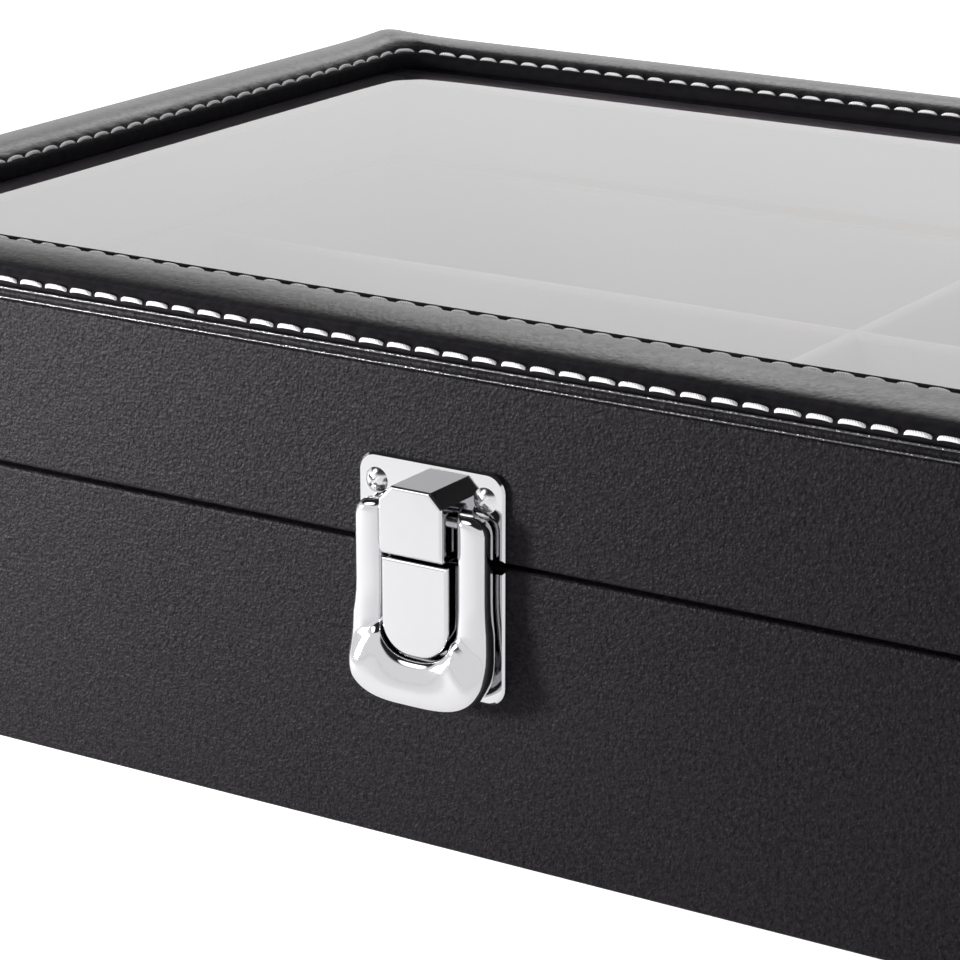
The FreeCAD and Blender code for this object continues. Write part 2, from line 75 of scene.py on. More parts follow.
# ---- the padded roll ----
# Its section, as (distance from the outer edge, height over the frame board), and the places on it, in mm.
SECTION = [(0.45, 0.0), (0.20, 0.45), (0.30, 0.95), (0.75, 1.55), (1.65, 2.40), (3.0, 3.0), (5.2, 3.45),
           (8.2, 3.80), (11.0, 3.88), (13.4, 3.55), (15.2, 2.95), (16.4, 2.38), (17.1, 2.10), (17.8, 2.45),
           (18.7, 2.52), (19.5, 2.25), (19.9, 1.55), (19.95, 0.7), (19.8, 0.0)]
OUTER_ROW = (0.30, 1.05)                # where each row of stitches lies on the section
INNER_ROW = (16.8, 2.20)
EDGE_FROM = 17.3                        # beyond this the leather is a dull, dark turned-in edge
FOOT_TO = 2.1                           # and likewise within this of the outer edge, round the outer row
EDGE_FADE = 0.5                         # and the distance over which it turns dull
# The rest of its sizes are in metres.
ROLL_OUTER_CORNER = 2.0 * MM
ROLL_INNER_CORNER = 6.0 * MM
RUN_STEP = 0.6 * MM                     # spacing of the roll's sections along the sides
CORNER_STEPS = 14
SECTION_STEPS = 64
CURVE_STEPS = 12                        # points on the smooth curve between two points of SECTION
STITCH_PITCH = 4.95 * MM
PUCKER = 0.20 * MM                      # how far the thread pulls the leather in at each needle hole
PUCKER_REACH = 1.3 * MM
PUFF_WAVE = 0.06 * MM                   # slow unevenness of the padding
PUFF_WAVE_SIZE = 20 * MM
CORNER_PUFF = 0.90 * MM                 # the leather gathers at the corners
CORNER_PUFF_REACH = 9 * MM

# ---- the wrapped frame board under the roll, in mm ----
BEAD_R = 0.22
BEAD_STEPS = 10
FACE_BACK = 0.55                        # how far its face lies behind its outline, still over the skin's rim
GLASS_PLAY = 0.2
BEAD_GAP = 0.05                         # height between each bead and the face
BOARD_CORNER_R = 1.5
BOARD_CORNER_MIN_R = 0.05
BOARD_CORNER_STEPS = 10

# ---- studio ----
HORIZON_TO = 20                         # degrees up to which the surroundings are white
CEILING_FROM = 31                       # degrees from which they are dark
HORIZON_STRENGTH = 1.18
CEILING_STRENGTH = 0.03
# Soft bright patches in the sky: direction, strength, and the angles in degrees over which each one fades.
SKY_PATCHES = [
    ((-0.415, 0.75, 0.515), 3.6, 5, 10),        # behind the box, to the left
    ((-0.515, -0.60, 0.61), 4.0, 9, 14),        # in front of it, to the left
]
FLOOR_HALF = 6.0
FLOOR_GAP = 0.05 * MM                   # the floor lies this far under the box
FLOOR_WHITE = 0.88
FLOOR_GLOW = 0.70
SENSOR = 36.0                           # mm, as is the lens
LENS = 134.69
CAMERA_X = 0.2771
CAMERA_OUT = 0.4206                     # in front of the box
CAMERA_Z = 0.2157
CAMERA_DOWN = 17.345                    # degrees
CAMERA_TURN = 32.61

# ---- stitches ----
STITCH_LENGTH = 4.35 * MM
THREAD_R = 0.35 * MM
STITCH_RISE = 0.40 * MM
STITCH_DIVE = 0.45 * MM                 # how far its ends go down into the needle holes
STITCH_LEAN = 0.03                      # most that a stitch tips up or down
STITCH_LENGTHS = (0.96, 1.03)           # least and most of the length
STITCH_RINGS = 12
STITCH_SIDES = 10
TWISTS = 3                              # turns of the thread's ply along a stitch

# ---- plush pieces ----
PLUSH_STEP = 4.0 * MM
PLUSH_WAVE = 0.22 * MM
PLUSH_WAVE_SIZE = 17 * MM
LINING_EDGE_R = 1.5 * MM
DIVIDER_EDGE_R = 1.7 * MM
THIN_EDGE_R = 0.9 * MM                  # the glass retainers and the floor pad
FELT_EDGE_R = 0.35 * MM
CROSS_DIVIDER_DROP = 0.25 * MM          # it stands a little lower than the long dividers

# ---- the cast latch flap, seen from the front ----
FLAP_RISE = 19                          # rows up each arm
FLAP_TURN = 40                          # steps round below the window
FLAP_RING = 28                          # points round its section
WINDOW_HALF_W = 6.4 * MM
WINDOW_TURN_H = 5.5 * MM                # height of the window's round lower end
WINDOW_OVER_TAIL = 5.0 * MM             # the window ends this far above the end of the tongue's hidden tail
ARM_HALF_W = 11.6 * MM                  # from the middle to the outside of each arm
ARM_CROWN = 4.9 * MM                    # proud of the front face
ARM_BACK = 1.5 * MM
ARM_TOP_R = 1.7 * MM                    # how far down the arm's round top reaches
ARM_MIN_W = 0.3 * MM
FLARE_H = 5 * MM                        # height over which the arms begin to widen into the swell
FLARE_SHARE = 0.35                      # share of the widening they reach there
FLARE_LIFT = 0.35 * MM                  # and how much further forward they come
SPREAD_RATE = 1.6                       # how fast the swell takes the rest
SWELL_CROWN = 7.7 * MM
SWELL_INNER = 6.3 * MM                  # beside the window, a little above the tongue
WINDOW_RIM = 0.30                       # how much further forward the swell's section turns at the window
SWELL_BACK = 2.75 * MM
SWELL_INNER_FULL = 0.30                 # share of the turn at which each of its edges is fully proud
SWELL_CROWN_FULL = 0.70
SHOULDER_R = 3.0 * MM
# How square a curve is: 2 is round, and more is squarer.
WINDOW_SQUARE = 2.4
OUTLINE_SQUARE = 3.4
ACROSS_SQUARE = 3.6
FRONT_SQUARE = 2.3
BACK_SQUARE = 5.0
WIDEST_AT = 0.42                        # where the section is widest, as a share of its depth from the back


# ------------------------------------------------------------------ node materials
def new_tree(name):
    material = bpy.data.materials.new(name)
    material.use_nodes = True
    material.node_tree.nodes.clear()
    return material, material.node_tree


def add(tree, kind, settings=None, **inputs):
    """A node with its settings, and its inputs given as values or as sockets to link."""
    node = tree.nodes.new(kind)
    for key, value in (settings or {}).items():
        setattr(node, key, value)
    for key, value in inputs.items():
        socket = node.inputs[int(key[1:])] if key[0] == "i" and key[1:].isdigit() else node.inputs[
            key.replace("_", " ")]
        if isinstance(value, bpy.types.NodeSocket):
            tree.links.new(value, socket)
        else:
            socket.default_value = value
    return node


def millimetres(tree):
    """Object coordinates in millimetres."""
    coordinates = add(tree, "ShaderNodeTexCoord").outputs["Object"]
    return add(tree, "ShaderNodeVectorMath", {"operation": "SCALE"}, i0=coordinates,
               Scale=1 / MM).outputs["Vector"]


def noise_at(tree, where, scale, detail=2.0, roughness=0.5):
    return add(tree, "ShaderNodeTexNoise", None, Vector=where, Scale=scale, Detail=detail,
               Roughness=roughness).outputs["Fac"]


def cells_at(tree, where, scale):
    node = add(tree, "ShaderNodeTexVoronoi", {"feature": "SMOOTH_F1"}, Vector=where, Scale=scale)
    return node.outputs["Distance"]


def spread(tree, value, low, high, low_in=0.0, high_in=1.0, how="LINEAR"):
    """A value that goes from low to high as the given one goes from low_in to high_in."""
    node = add(tree, "ShaderNodeMapRange", {"interpolation_type": how}, Value=value)
    node.inputs["From Min"].default_value = low_in
    node.inputs["From Max"].default_value = high_in
    node.inputs["To Min"].default_value = low
    node.inputs["To Max"].default_value = high
    return node.outputs["Result"]


def blend_colours(tree, factor, first, second):
    node = add(tree, "ShaderNodeMix", {"data_type": "RGBA"})
    tree.links.new(factor, node.inputs[0])
    node.inputs[6].default_value = (*first, 1)
    node.inputs[7].default_value = (*second, 1)
    return node.outputs[2]


def add_maths(tree, operation, first, second):
    return add(tree, "ShaderNodeMath", {"operation": operation}, i0=first, i1=second).outputs[0]


def bump(tree, height, depth_mm, strength=1.0, below=None):
    node = add(tree, "ShaderNodeBump", None, Strength=strength, Distance=depth_mm * MM, Height=height)
    if below is not None:
        tree.links.new(below, node.inputs["Normal"])
    return node.outputs["Normal"]


def finish_surface(tree, **inputs):
    shader = add(tree, "ShaderNodeBsdfPrincipled", None, **inputs)
    add(tree, "ShaderNodeOutputMaterial", None, Surface=shader.outputs[0])


def leather(name, dark, light, roughness, grain_mm, grain_depth, specular, speckle=0.5, edge=False):
    """Coated leather: a pebbled grain with fine pores, and slow changes of tone and gloss.

    The attribute "polish" makes it shinier, and with edge set the attribute "edge" makes it duller.
    """
    material, tree = new_tree(name)
    where = millimetres(tree)
    warp = add(tree, "ShaderNodeTexNoise", None, Vector=where, Scale=0.6 / grain_mm, Detail=2.0)
    shift = add(tree, "ShaderNodeVectorMath", {"operation": "SCALE"}, i0=warp.outputs["Color"],
                Scale=grain_mm)
    bent = add(tree, "ShaderNodeVectorMath", {"operation": "ADD"}, i0=where, i1=shift.outputs["Vector"])
    pebbles = cells_at(tree, bent.outputs["Vector"], 1 / grain_mm)
    pores = noise_at(tree, where, 1.7 / grain_mm, 3.0, 0.6)
    tone = noise_at(tree, where, 0.03, 3.0)
    patches = noise_at(tree, where, 0.55 / grain_mm, 3.0, 0.65)
    mixed = add_maths(tree, "ADD", spread(tree, tone, 0.0, 1 - speckle),
                      spread(tree, patches, 0.0, speckle, 0.3, 0.7))
    colour = blend_colours(tree, mixed, dark, light)
    gloss = add_maths(tree, "ADD", spread(tree, pores, -0.08, 0.08),
                      spread(tree, tone, roughness - 0.04, roughness + 0.04))
    shine = spread(tree, patches, specular * 0.6, specular * 1.4, 0.3, 0.7)
    polish = add(tree, "ShaderNodeAttribute", {"attribute_name": "polish"}).outputs["Fac"]
    gloss = add_maths(tree, "SUBTRACT", gloss, spread(tree, polish, 0.0, 0.22))
    shine = add_maths(tree, "ADD", shine, spread(tree, polish, 0.0, 0.9))
    if edge:
        dull = add(tree, "ShaderNodeAttribute", {"attribute_name": "edge"}).outputs["Fac"]
        gloss = add_maths(tree, "ADD", gloss, spread(tree, dull, 0.0, 0.4))
        shine = add_maths(tree, "MULTIPLY", shine, spread(tree, dull, 1.0, 0.06))
    skin = bump(tree, pores, grain_depth * 0.6)
    skin = bump(tree, pebbles, grain_depth, 1.0, skin)
    finish_surface(tree, Base_Color=colour, Roughness=gloss, Normal=skin, Specular_IOR_Level=shine)
    return material


def plush(name, dark, light, pile_mm=0.35):
    """Short velvet pile, brushed unevenly, paler where it is seen along the surface."""
    material, tree = new_tree(name)
    where = millimetres(tree)
    pile = noise_at(tree, where, 1 / pile_mm, 4.0, 0.7)
    brushed = noise_at(tree, where, 0.05, 3.0, 0.6)
    mixed = add_maths(tree, "ADD", spread(tree, pile, 0.0, 0.5), spread(tree, brushed, 0.0, 0.5))
    colour = blend_colours(tree, mixed, dark, light)
    fibres = bump(tree, pile, 0.25, 0.6)
    finish_surface(tree, Base_Color=colour, Roughness=0.95, Normal=fibres, Specular_IOR_Level=0.1,
                   Sheen_Weight=0.5, Sheen_Roughness=0.45)
    return material


def polished_metal(name, colour, roughness, scratches=0.5):
    """Plated metal with faint hairlines and slightly uneven polish."""
    material, tree = new_tree(name)
    where = millimetres(tree)
    stretched = add(tree, "ShaderNodeVectorMath", {"operation": "MULTIPLY"}, i0=where, i1=(0.25, 6.0, 6.0))
    lines = noise_at(tree, stretched.outputs[0], 1.6, 4.0, 0.65)
    cloud = noise_at(tree, where, 0.25, 2.0)
    gloss = add_maths(tree, "ADD", spread(tree, lines, 0.0, roughness), spread(tree, cloud, 0.0, roughness))
    tone = blend_colours(tree, cloud, [c * 0.96 for c in colour], colour)
    surface = bump(tree, lines, 0.004, scratches)
    finish_surface(tree, Base_Color=tone, Metallic=1.0, Roughness=gloss, Normal=surface)
    return material


def brushed_metal(name, colour, roughness):
    """Satin plated steel, brushed along X."""
    material, tree = new_tree(name)
    where = millimetres(tree)
    stretched = add(tree, "ShaderNodeVectorMath", {"operation": "MULTIPLY"}, i0=where, i1=(0.3, 9.0, 9.0))
    lines = noise_at(tree, stretched.outputs[0], 1.0, 5.0, 0.7)
    gloss = spread(tree, lines, roughness - 0.08, roughness + 0.1)
    tone = blend_colours(tree, lines, [c * 0.88 for c in colour], colour)
    surface = bump(tree, lines, 0.012, 0.6)
    finish_surface(tree, Base_Color=tone, Metallic=1.0, Roughness=gloss, Normal=surface)
    return material


def window_glass(name):
    """A flat pane that lets light straight through and reflects more at low angles."""
    material, tree = new_tree(name)
    inside = add(tree, "ShaderNodeNewGeometry").outputs["Backfacing"]
    one_face = add(tree, "ShaderNodeFresnel", None, IOR=1.62).outputs[0]
    both_faces = add_maths(tree, "DIVIDE", add_maths(tree, "MULTIPLY", one_face, 2.0),
                           add_maths(tree, "ADD", one_face, 1.0))
    outer_only = add_maths(tree, "MULTIPLY", both_faces, add_maths(tree, "SUBTRACT", 1.0, inside))
    where = millimetres(tree)
    smear = noise_at(tree, where, 0.06, 3.0, 0.6)
    clear = add(tree, "ShaderNodeBsdfTransparent", None, Color=(0.945, 0.932, 0.955, 1))
    mirror = add(tree, "ShaderNodeBsdfGlossy", None, Color=(1, 1, 1, 1),
                 Roughness=spread(tree, smear, 0.0, 0.03))
    mix = add(tree, "ShaderNodeMixShader", None, i0=outer_only, i1=clear.outputs[0], i2=mirror.outputs[0])
    add(tree, "ShaderNodeOutputMaterial", None, Surface=mix.outputs[0])
    return material


def sewing_thread(name):
    """White two-ply thread: the twist runs round the UV of each stitch, and its bands darken the colour in the
    grooves between the plies as painted shade, over a random fuzz of tone.
    """
    material, tree = new_tree(name)
    uv = add(tree, "ShaderNodeTexCoord").outputs["UV"]
    twist_and_groove_shade = add(tree, "ShaderNodeTexWave", {"wave_type": "BANDS", "bands_direction": "DIAGONAL"},
                Vector=uv, Scale=2.2, Distortion=0.6)
    where = millimetres(tree)
    fuzz = noise_at(tree, where, 6.0, 3.0, 0.7)
    mixed = add_maths(tree, "MULTIPLY", twist_and_groove_shade.outputs["Fac"], spread(tree, fuzz, 0.6, 1.0))
    # painted shade: the colour darkens along the twist's grooves between the plies; the fuzz is random tone
    colour = blend_colours(tree, mixed, (0.50, 0.495, 0.50), (0.88, 0.87, 0.88))
    fibres = bump(tree, mixed, 0.08, 0.7)
    finish_surface(tree, Base_Color=colour, Roughness=0.7, Normal=fibres, Sheen_Weight=0.3,
                   Specular_IOR_Level=0.3)
    return material


def raw_board(name, dark, light):
    """Pressed fibreboard: fine flecks."""
    material, tree = new_tree(name)
    where = millimetres(tree)
    flecks = noise_at(tree, where, 1.8, 5.0, 0.75)
    surface = bump(tree, flecks, 0.1, 0.5)
    finish_surface(tree, Base_Color=blend_colours(tree, flecks, dark, light), Roughness=0.85, Normal=surface)
    return material


def nap(name, dark, light):
    """Pressed felt."""
    material, tree = new_tree(name)
    where = millimetres(tree)
    fibres = noise_at(tree, where, 2.5, 6.0, 0.8)
    surface = bump(tree, fibres, 0.3, 0.8)
    finish_surface(tree, Base_Color=blend_colours(tree, fibres, dark, light), Roughness=1.0, Normal=surface,
                   Sheen_Weight=0.3)
    return material


MATERIALS = {
    "leatherette": leather("leatherette", (0.0020, 0.0016, 0.0022), (0.0105, 0.0088, 0.0110), roughness=0.46,
                           grain_mm=0.45, grain_depth=0.12, specular=0.07, speckle=0.75),
    "padded_leather": leather("padded_leather", (0.0040, 0.0036, 0.0044), (0.0110, 0.0100, 0.0120),
                              roughness=0.30, grain_mm=0.8, grain_depth=0.030, specular=0.33, edge=True),
    "velvet": plush("velvet", (0.285, 0.248, 0.245), (0.44, 0.395, 0.388)),
    "felt": nap("felt", (0.012, 0.012, 0.014), (0.035, 0.035, 0.038)),
    "fibreboard": raw_board("fibreboard", (0.36, 0.26, 0.17), (0.55, 0.43, 0.30)),
    "hardboard": raw_board("hardboard", (0.20, 0.13, 0.08), (0.34, 0.24, 0.15)),
    "glass": window_glass("glass"),
    "chrome": polished_metal("chrome", (0.55, 0.546, 0.56), 0.05),
    "screw_steel": polished_metal("screw_steel", (0.60, 0.595, 0.61), 0.20),
    "pin_steel": brushed_metal("pin_steel", (0.60, 0.60, 0.62), 0.25),
    "hinge_steel": brushed_metal("hinge_steel", (0.66, 0.655, 0.65), 0.30),
    "thread": sewing_thread("thread"),
}


def paint_nodes():
    """Every CAD node takes the material of its slot."""
    for row in frame["record"]["subparts"]:
        slots = frame["nodes"][row["node"]].data.materials
        slots.clear()
        slots.append(MATERIALS[row["material_slot"]])


# ------------------------------------------------------------------ mesh helpers
def make_piece(name, points, faces, slot, body, uvs=None):
    mesh = bpy.data.meshes.new(name)
    mesh.from_pydata([tuple(p) for p in points], [], [tuple(f) for f in faces])
    mesh.update()
    if uvs is not None:
        layer = mesh.uv_layers.new(name="UVMap")
        for loop in mesh.loops:
            layer.data[loop.index].uv = uvs[loop.vertex_index]
    mesh.shade_smooth()
    piece = bpy.data.objects.new(name, mesh)
    bpy.context.scene.collection.objects.link(piece)
    mesh.materials.append(MATERIALS[slot])
    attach(piece, body)
    return piece


def wave(x, y, size, seed):
    """Smooth unevenness from -1 to 1 over about that size."""
    a = math.sin(x / size + 1.7 * seed) * math.cos(y / size * 0.8 + seed)
    b = math.sin((x + y) / size * 0.57 + 2.3 * seed)
    return 0.6 * a + 0.4 * b


def add_shares(piece, name, shares):
    """A number from 0 to 1 at each point, for the material to read."""
    attribute = piece.data.attributes.new(name, "FLOAT", "POINT")
    attribute.data.foreach_set("value", shares)


# ------------------------------------------------------------------ the padded roll
def loop_layout():
    """The steps round a rounded rectangle, shared by every loop of the roll: (side or corner, share)."""
    steps = []
    for side in range(4):
        length = (ROLL_HIGH.x - ROLL_LOW.x) if side % 2 == 0 else (ROLL_HIGH.y - ROLL_LOW.y)
        count = round(length / RUN_STEP)
        steps += [("run", side, i / count) for i in range(count)]
        steps += [("turn", side, i / CORNER_STEPS) for i in range(CORNER_STEPS)]
    return steps


LAYOUT = loop_layout()
ROLL_WIDTH = max(across for across, _ in SECTION) * MM


def rectangle_loop(inset, radius):
    """Points and outward directions round a rounded rectangle that lies inset from the roll's outline."""
    hx = (ROLL_HIGH.x - ROLL_LOW.x) / 2 - inset
    hy = (ROLL_HIGH.y - ROLL_LOW.y) / 2 - inset
    starts = [(-hx + radius, -hy), (hx, -hy + radius), (hx - radius, hy), (-hx, hy - radius)]
    ends = [(hx - radius, -hy), (hx, hy - radius), (-hx + radius, hy), (-hx, -hy + radius)]
    pivots = [(hx - radius, -hy + radius), (hx - radius, hy - radius), (-hx + radius, hy - radius),
              (-hx + radius, -hy + radius)]
    points, outward = [], []
    for kind, side, share in LAYOUT:
        base_angle = math.radians(-90 + 90 * side)
        if kind == "run":
            (ax, ay), (bx, by) = starts[side], ends[side]
            points.append((ax + (bx - ax) * share, ay + (by - ay) * share))
            angle = base_angle
        else:
            angle = base_angle + math.radians(90) * share
            px, py = pivots[side]
            points.append((px + radius * math.cos(angle), py + radius * math.sin(angle)))
        outward.append((math.cos(angle), math.sin(angle)))
    return np.array(points) + np.array([ROLL_CENTRE.x, ROLL_CENTRE.y]), np.array(outward)


def smooth_section():
    """Evenly spaced points on a smooth curve through SECTION."""
    knots = np.array([SECTION[0]] + SECTION + [SECTION[-1]])
    dense = []
    for i in range(1, len(knots) - 2):
        before, here, there, after = knots[i - 1:i + 3]
        for t in np.linspace(0, 1, CURVE_STEPS, endpoint=False):
            dense.append(0.5 * (2 * here + (there - before) * t
                                + (2 * before - 5 * here + 4 * there - after) * t * t
                                + (3 * here - before - 3 * there + after) * t ** 3))
    dense = np.array(dense + [knots[-2]])
    steps = np.concatenate([[0], np.cumsum(np.linalg.norm(np.diff(dense, axis=0), axis=1))])
    wanted = np.linspace(0, steps[-1], SECTION_STEPS)
    return np.column_stack([np.interp(wanted, steps, dense[:, k]) for k in (0, 1)]) * MM


PROFILE = smooth_section()
ROLL_CROWN = PROFILE[:, 1].max()
ROW_POINTS = {"outer": (OUTER_ROW[0] * MM, OUTER_ROW[1] * MM),
              "inner": (INNER_ROW[0] * MM, INNER_ROW[1] * MM)}
ROW_NORMALS = {"outer": (0.75, 0.65), "inner": (-0.05, 1.0)}         # outward and upward


def corner_radius(inset):
    return ROLL_OUTER_CORNER + (ROLL_INNER_CORNER - ROLL_OUTER_CORNER) * inset / ROLL_WIDTH


def row_phase(inset):
    """For each step round the roll, how many stitches along that row it lies, and their number."""
    loop, _ = rectangle_loop(inset, corner_radius(inset))
    steps = np.linalg.norm(np.roll(loop, -1, axis=0) - loop, axis=1)
    along = np.concatenate([[0.0], np.cumsum(steps)[:-1]])
    count = round(steps.sum() / STITCH_PITCH)
    return along / steps.sum() * count, count


ROWS = {row: row_phase(point[0]) for row, point in ROW_POINTS.items()}


def corner_gather(loop):
    """1 on the diagonals of the roll's corners, falling away along its sides."""
    to_x = (ROLL_HIGH.x - ROLL_LOW.x) / 2 - np.abs(loop[:, 0] - ROLL_CENTRE.x)
    to_y = (ROLL_HIGH.y - ROLL_LOW.y) / 2 - np.abs(loop[:, 1] - ROLL_CENTRE.y)
    return np.exp(-(np.abs(to_x - to_y) / CORNER_PUFF_REACH) ** 1.5)


def roll_loop(place, height):
    """The loop of the roll's skin at one point of its section, with its outward directions."""
    loop, outward = rectangle_loop(place, corner_radius(place))
    sink = np.zeros(len(loop))
    for row, (phase, _) in ROWS.items():
        row_place, row_height = ROW_POINTS[row]
        near = math.exp(-(math.hypot(place - row_place, height - row_height) / PUCKER_REACH) ** 2)
        hole = (0.5 + 0.5 * np.cos(2 * math.pi * phase)) ** 2
        sink += PUCKER * near * (0.25 + 0.75 * hole)
    full = height / ROLL_CROWN
    slow = np.array([wave(x, y, PUFF_WAVE_SIZE, 3.0) for x, y in loop]) * PUFF_WAVE * full
    puff = corner_gather(loop) * CORNER_PUFF * full ** 2
    upward = min(1.0, full * 1.6)
    z = ROLL_LOW.z + height - sink * upward + slow + puff
    side = 1 - upward if place < ROLL_WIDTH / 2 else upward - 1
    flat = loop - outward * (sink * side)[:, None]
    return np.column_stack([flat, np.maximum(z, ROLL_LOW.z)]), outward


def make_roll():
    """The sewn skin of the roll, closed underneath, over its padding."""
    loops = [roll_loop(place, height)[0] for place, height in PROFILE]
    count = len(LAYOUT)
    rings = len(loops)
    faces = []
    for j in range(rings):
        low, high = j * count, ((j + 1) % rings) * count
        for i in range(count):
            k = (i + 1) % count
            faces.append((low + i, low + k, high + k, high + i))
    roll = make_piece("padded_leather_roll", np.concatenate(loops), faces, "padded_leather", "lid")
    across = PROFILE[:, 0] / MM
    dull = np.clip(np.maximum(across - EDGE_FROM, FOOT_TO - across) / EDGE_FADE, 0, 1)
    add_shares(roll, "edge", np.repeat(dull, count))
    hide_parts("padded_roll")


# ------------------------------------------------------------------ the wrapped frame board
def make_top_frame():
    """The board under the roll: a face set a little back between two thin, shiny beads."""
    low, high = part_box("lid_top_frame")
    hx, hy = (high.x - low.x) / 2, (high.y - low.y) / 2
    thick = (high.z - low.z) / MM
    inner = (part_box("glass_pane")[0].x - low.x) / MM - GLASS_PLAY
    angles = [math.pi * k / BEAD_STEPS for k in range(BEAD_STEPS + 1)]
    lower, upper = ([(BEAD_R * (1 - math.sin(a)), middle - BEAD_R * math.cos(a)) for a in angles]
                    for middle in (BEAD_R, thick - BEAD_R))
    face = [(FACE_BACK, 2 * BEAD_R + BEAD_GAP), (FACE_BACK, thick - 2 * BEAD_R - BEAD_GAP)]
    section = lower + face + upper + [(inner, thick), (inner, 0.0)]
    polish = [1.0] * len(lower) + [0.0] * 2 + [1.0] * len(upper) + [0.0] * 2
    points, faces = [], []
    for across, up in section:
        radius = max(BOARD_CORNER_R - across, BOARD_CORNER_MIN_R) * MM
        inset = across * MM
        for side, (sx, sy) in enumerate(((1, -1), (1, 1), (-1, 1), (-1, -1))):
            for k in range(BOARD_CORNER_STEPS):
                angle = math.radians(-90 + 90 * side + 90 * k / (BOARD_CORNER_STEPS - 1))
                points.append((sx * (hx - inset - radius) + radius * math.cos(angle),
                               sy * (hy - inset - radius) + radius * math.sin(angle), low.z + up * MM))
    count = 4 * BOARD_CORNER_STEPS
    rings = len(section)
    for j in range(rings):
        near, far = j * count, ((j + 1) % rings) * count
        faces += [(near + i, near + (i + 1) % count, far + (i + 1) % count, far + i) for i in range(count)]
    board = make_piece("wrapped_top_frame", points, faces, "leatherette", "lid")
    add_shares(board, "polish", np.repeat(polish, count))
    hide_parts("lid_top_frame")


# ------------------------------------------------------------------ stitches
def stitch_points(centre, along, up, across, length):
    """Rings of one stitch: an arched thread whose ends dive into the needle holes."""
    rings = []
    for i in range(STITCH_RINGS):
        t = i / (STITCH_RINGS - 1) * 2 - 1
        rise = STITCH_RISE * (1 - abs(t) ** 2.4) - STITCH_DIVE * abs(t) ** 6
        middle = centre + along * (t * length / 2) + up * rise
        thick = THREAD_R * (1 - 0.35 * abs(t) ** 6)
        for k in range(STITCH_SIDES):
            angle = 2 * math.pi * k / STITCH_SIDES
            rings.append(middle + (up * math.sin(angle) + across * math.cos(angle)) * thick)
    return rings


def make_stitches(name, row):
    """One row of stitches round the roll, each centred between two needle holes."""
    place, height = ROW_POINTS[row]
    surface, outward = roll_loop(place, height)
    slope = math.atan2(*ROW_NORMALS[row])
    phase, count = ROWS[row]
    points, faces, uvs = [], [], []
    for n in range(count):
        spot = n + 0.5
        i = int(np.searchsorted(phase, spot)) % len(phase)
        before = (i - 1) % len(phase)
        step = (spot - phase[before]) / max((phase[i] - phase[before]) % count, 1e-9)
        centre = Vector(surface[before] + (surface[i] - surface[before]) * step)
        along = Vector(surface[(i + 2) % len(phase)] - surface[(before - 2) % len(phase)])
        along.z = 0
        along.normalize()
        away = Vector((*outward[i], 0))
        up = (away * math.sin(slope) + Vector((0, 0, math.cos(slope)))).normalized()
        along = (along + up * random.uniform(-STITCH_LEAN, STITCH_LEAN)).normalized()
        across = along.cross(up).normalized()
        length = STITCH_LENGTH * random.uniform(*STITCH_LENGTHS)
        first = len(points)
        points += stitch_points(centre, along, up, across, length)
        for r in range(STITCH_RINGS):
            uvs += [(r / (STITCH_RINGS - 1) * TWISTS, k / STITCH_SIDES) for k in range(STITCH_SIDES)]
        for r in range(STITCH_RINGS - 1):
            for k in range(STITCH_SIDES):
                a = first + r * STITCH_SIDES + k
                b = first + r * STITCH_SIDES + (k + 1) % STITCH_SIDES
                faces.append((a, b, b + STITCH_SIDES, a + STITCH_SIDES))
        faces.append(tuple(first + k for k in reversed(range(STITCH_SIDES))))
        last = first + (STITCH_RINGS - 1) * STITCH_SIDES
        faces.append(tuple(last + k for k in range(STITCH_SIDES)))
    make_piece(name, points, faces, "thread", "lid", uvs)


# ------------------------------------------------------------------ plush boards and pads
def round_steps(half, radius):
    """Grid places from -half to half, closer together in the rounded edges."""
    edge = [half - radius * share for share in (1.0, 0.62, 0.30, 0.08, 0.0)]
    inner = half - radius
    count = max(1, round(2 * inner / PLUSH_STEP))
    return [-e for e in reversed(edge)] + [-inner + 2 * inner * i / count for i in range(1, count)] + edge


def plush_block(name, nodes, low, high, radius, slot="velvet", body="base", *, fill):
    """A padded board: a block with soft round edges and a slightly uneven, brushed-up surface."""
    centre = (Vector(low) + Vector(high)) / 2
    half = (Vector(high) - Vector(low)) / 2
    radius = min(radius, *(h * 0.95 for h in half))
    grids = [round_steps(h, radius) for h in half]
    index, points, faces = {}, [], []

    def corner(i, j, k):
        key = (i, j, k)
        if key not in index:
            raw = Vector((grids[0][i], grids[1][j], grids[2][k]))
            core = Vector([max(-(h - radius), min(h - radius, c)) for c, h in zip(raw, half)])
            away = raw - core
            outward = away.normalized() if away.length > 1e-9 else away
            dent = PLUSH_WAVE * (0.5 + 0.5 * wave(raw.x + centre.x + raw.z, raw.y + centre.y - raw.z,
                                                  PLUSH_WAVE_SIZE, 2.0 + centre.x * 9))
            index[key] = len(points)
            points.append(centre + core + outward * (radius - dent))
        return index[key]

    sizes = [len(g) - 1 for g in grids]
    for axis in range(3):
        a, b = [k for k in range(3) if k != axis]
        for end in (0, sizes[axis]):
            for i in range(sizes[a]):
                for j in range(sizes[b]):
                    quad = []
                    for di, dj in ((0, 0), (1, 0), (1, 1), (0, 1)):
                        place = [0, 0, 0]
                        place[axis], place[a], place[b] = end, i + di, j + dj
                        quad.append(corner(*place))
                    flip = (end == 0) != (axis == 1)
                    faces.append(tuple(reversed(quad)) if flip else tuple(quad))
    piece = make_piece(name, points, faces, slot, body)
    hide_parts(*nodes)


def between_ends(node, along, trim):
    """The box of a node, shortened at both ends along one axis."""
    low, high = (Vector(corner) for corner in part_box(node))
    low[along] += trim
    high[along] -= trim
    return low, high


